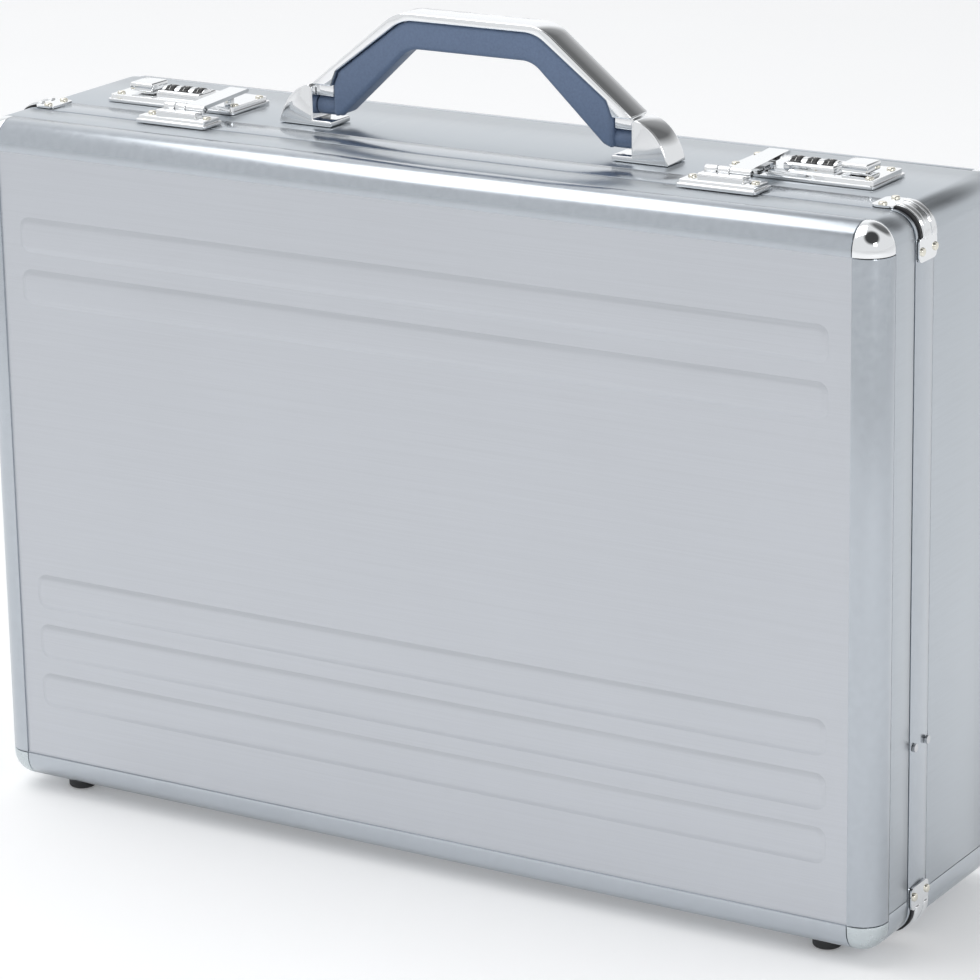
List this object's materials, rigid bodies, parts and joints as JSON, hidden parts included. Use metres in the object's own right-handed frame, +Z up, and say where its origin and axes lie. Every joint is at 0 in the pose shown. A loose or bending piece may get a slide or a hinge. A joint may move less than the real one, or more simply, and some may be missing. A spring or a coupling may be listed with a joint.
{
  "type": "attache case",
  "caption": "Hard aluminium attache case: shallow ribbed lid hinged along the bottom, deeper body, folding top handle, combination latches, rubber feet and lid stays.",
  "frame": {"origin": "middle of the footprint, on the surface that the feet stand on", "axes": "+Z up towards the handle, X along the case, the lid faces -Y"},
  "size_m": [0.4646, 0.125, 0.379],
  "materials": {
    "brushed_aluminium": "brushed, fine horizontal grain",
    "satin_extrusion": "satin anodised",
    "chrome": "polished",
    "slate_grip": "satin",
    "black_plastic": "semi-gloss",
    "black_rubber": "matte",
    "grey_lining": "board covered in a fine dark cloth",
    "steel": "bright zinc"
  },
  "bodies": {
    "body": {"back_panel": "brushed_aluminium", "body_wrap": "brushed_aluminium", "body_bottom": "brushed_aluminium", "rim_band": "satin_extrusion", "rear_edge_top": "satin_extrusion", "rear_edge_bottom": "satin_extrusion", "rear_edge_left": "satin_extrusion", "rear_edge_right": "satin_extrusion", "rear_cap_top_left": "chrome", "rear_cap_top_right": "chrome", "rear_cap_bottom_left": "chrome", "rear_cap_bottom_right": "chrome", "rim_clamp_top_left": "chrome", "rim_clamp_top_right": "chrome", "rim_clamp_bottom_left": "chrome", "rim_clamp_bottom_right": "chrome", "body_lining": "grey_lining", "handle_bracket_left": "chrome", "handle_bracket_right": "chrome", "lock_base_left": "chrome", "lock_base_right": "chrome", "hinge_leaf_body": "steel", "rear_foot_left": "black_rubber", "rear_foot_right": "black_rubber", "stay_mount_left": "steel", "stay_mount_right": "steel"},
    "lid": {"front_panel": "brushed_aluminium", "lid_wrap": "brushed_aluminium", "lid_bottom": "brushed_aluminium", "front_edge_top": "satin_extrusion", "front_edge_bottom": "satin_extrusion", "front_edge_left": "satin_extrusion", "front_edge_right": "satin_extrusion", "front_cap_top_left": "chrome", "front_cap_top_right": "chrome", "front_cap_bottom_left": "chrome", "front_cap_bottom_right": "chrome", "lid_lining": "grey_lining", "document_pocket": "grey_lining", "hasp_left": "chrome", "hasp_right": "chrome", "hinge_leaf_lid": "steel", "front_foot_left": "black_rubber", "front_foot_right": "black_rubber"},
    "handle": {"handle_strap": "chrome", "handle_grip": "slate_grip"},
    "flap_left": {"latch_flap_left": "chrome"},
    "button_left": {"release_button_left": "chrome"},
    "number_left_1": {"dial_left_1": "black_plastic"},
    "number_left_2": {"dial_left_2": "black_plastic"},
    "number_left_3": {"dial_left_3": "black_plastic"},
    "stay_lower_left": {"stay_body_link_left": "steel"},
    "stay_upper_left": {"stay_lid_link_left": "steel"},
    "flap_right": {"latch_flap_right": "chrome"},
    "button_right": {"release_button_right": "chrome"},
    "number_right_1": {"dial_right_1": "black_plastic"},
    "number_right_2": {"dial_right_2": "black_plastic"},
    "number_right_3": {"dial_right_3": "black_plastic"},
    "stay_lower_right": {"stay_body_link_right": "steel"},
    "stay_upper_right": {"stay_lid_link_right": "steel"}
  },
  "joints": [
    {"name": "lid_hinge", "type": "hinge", "parent": "body", "child": "lid", "pos_m": [0, -0.03125, 0.0032], "axis": [1, 0, 0], "range_deg": [0, 95]},
    {"name": "handle_pivot", "type": "hinge", "parent": "body", "child": "handle", "pos_m": [0, 0.0025, 0.3325], "axis": [1, 0, 0], "range_deg": [-80, 80]},
    {"name": "latch_left", "type": "hinge", "parent": "lid", "child": "flap_left", "pos_m": [-0.13405, -0.0212, 0.3293], "axis": [1, 0, 0], "range_deg": [0, 105]},
    {"name": "button_slide_left", "type": "slide", "parent": "body", "child": "button_left", "axis": [-1, 0, 0], "range_m": [0, 0.005], "stiffness_N_per_m": 300},
    {"name": "dial_turn_left_1", "type": "hinge", "parent": "body", "child": "number_left_1", "pos_m": [-0.1543, 0.011, 0.3261], "axis": [1, 0, 0], "continuous": true},
    {"name": "dial_turn_left_2", "type": "hinge", "parent": "body", "child": "number_left_2", "pos_m": [-0.162, 0.011, 0.3261], "axis": [1, 0, 0], "continuous": true},
    {"name": "dial_turn_left_3", "type": "hinge", "parent": "body", "child": "number_left_3", "pos_m": [-0.1697, 0.011, 0.3261], "axis": [1, 0, 0], "continuous": true},
    {"name": "stay_body_pivot_left", "type": "hinge", "parent": "body", "child": "stay_lower_left", "pos_m": [-0.223, -0.022, 0.0905], "axis": [1, 0, 0], "range_deg": [0, 95]},
    {"name": "stay_lid_pivot_left", "type": "hinge", "parent": "lid", "child": "stay_upper_left", "pos_m": [-0.2215, -0.0405, 0.0905], "axis": [1, 0, 0], "range_deg": [-95, 0]},
    {"name": "latch_right", "type": "hinge", "parent": "lid", "child": "flap_right", "pos_m": [0.14435, -0.0212, 0.3293], "axis": [1, 0, 0], "range_deg": [0, 105]},
    {"name": "button_slide_right", "type": "slide", "parent": "body", "child": "button_right", "axis": [1, 0, 0], "range_m": [0, 0.005], "stiffness_N_per_m": 300},
    {"name": "dial_turn_right_1", "type": "hinge", "parent": "body", "child": "number_right_1", "pos_m": [0.1543, 0.011, 0.3261], "axis": [1, 0, 0], "continuous": true},
    {"name": "dial_turn_right_2", "type": "hinge", "parent": "body", "child": "number_right_2", "pos_m": [0.162, 0.011, 0.3261], "axis": [1, 0, 0], "continuous": true},
    {"name": "dial_turn_right_3", "type": "hinge", "parent": "body", "child": "number_right_3", "pos_m": [0.1697, 0.011, 0.3261], "axis": [1, 0, 0], "continuous": true},
    {"name": "stay_body_pivot_right", "type": "hinge", "parent": "body", "child": "stay_lower_right", "pos_m": [0.223, -0.022, 0.0905], "axis": [1, 0, 0], "range_deg": [0, 95]},
    {"name": "stay_lid_pivot_right", "type": "hinge", "parent": "lid", "child": "stay_upper_right", "pos_m": [0.2215, -0.0405, 0.0905], "axis": [1, 0, 0], "range_deg": [-95, 0]}
  ],
  "couplings": [
    {"joint": "stay_body_pivot_left", "follows": "lid_hinge", "ratio": 1},
    {"joint": "stay_lid_pivot_left", "follows": "lid_hinge", "ratio": -1},
    {"joint": "stay_body_pivot_right", "follows": "lid_hinge", "ratio": 1},
    {"joint": "stay_lid_pivot_right", "follows": "lid_hinge", "ratio": -1}
  ]
}
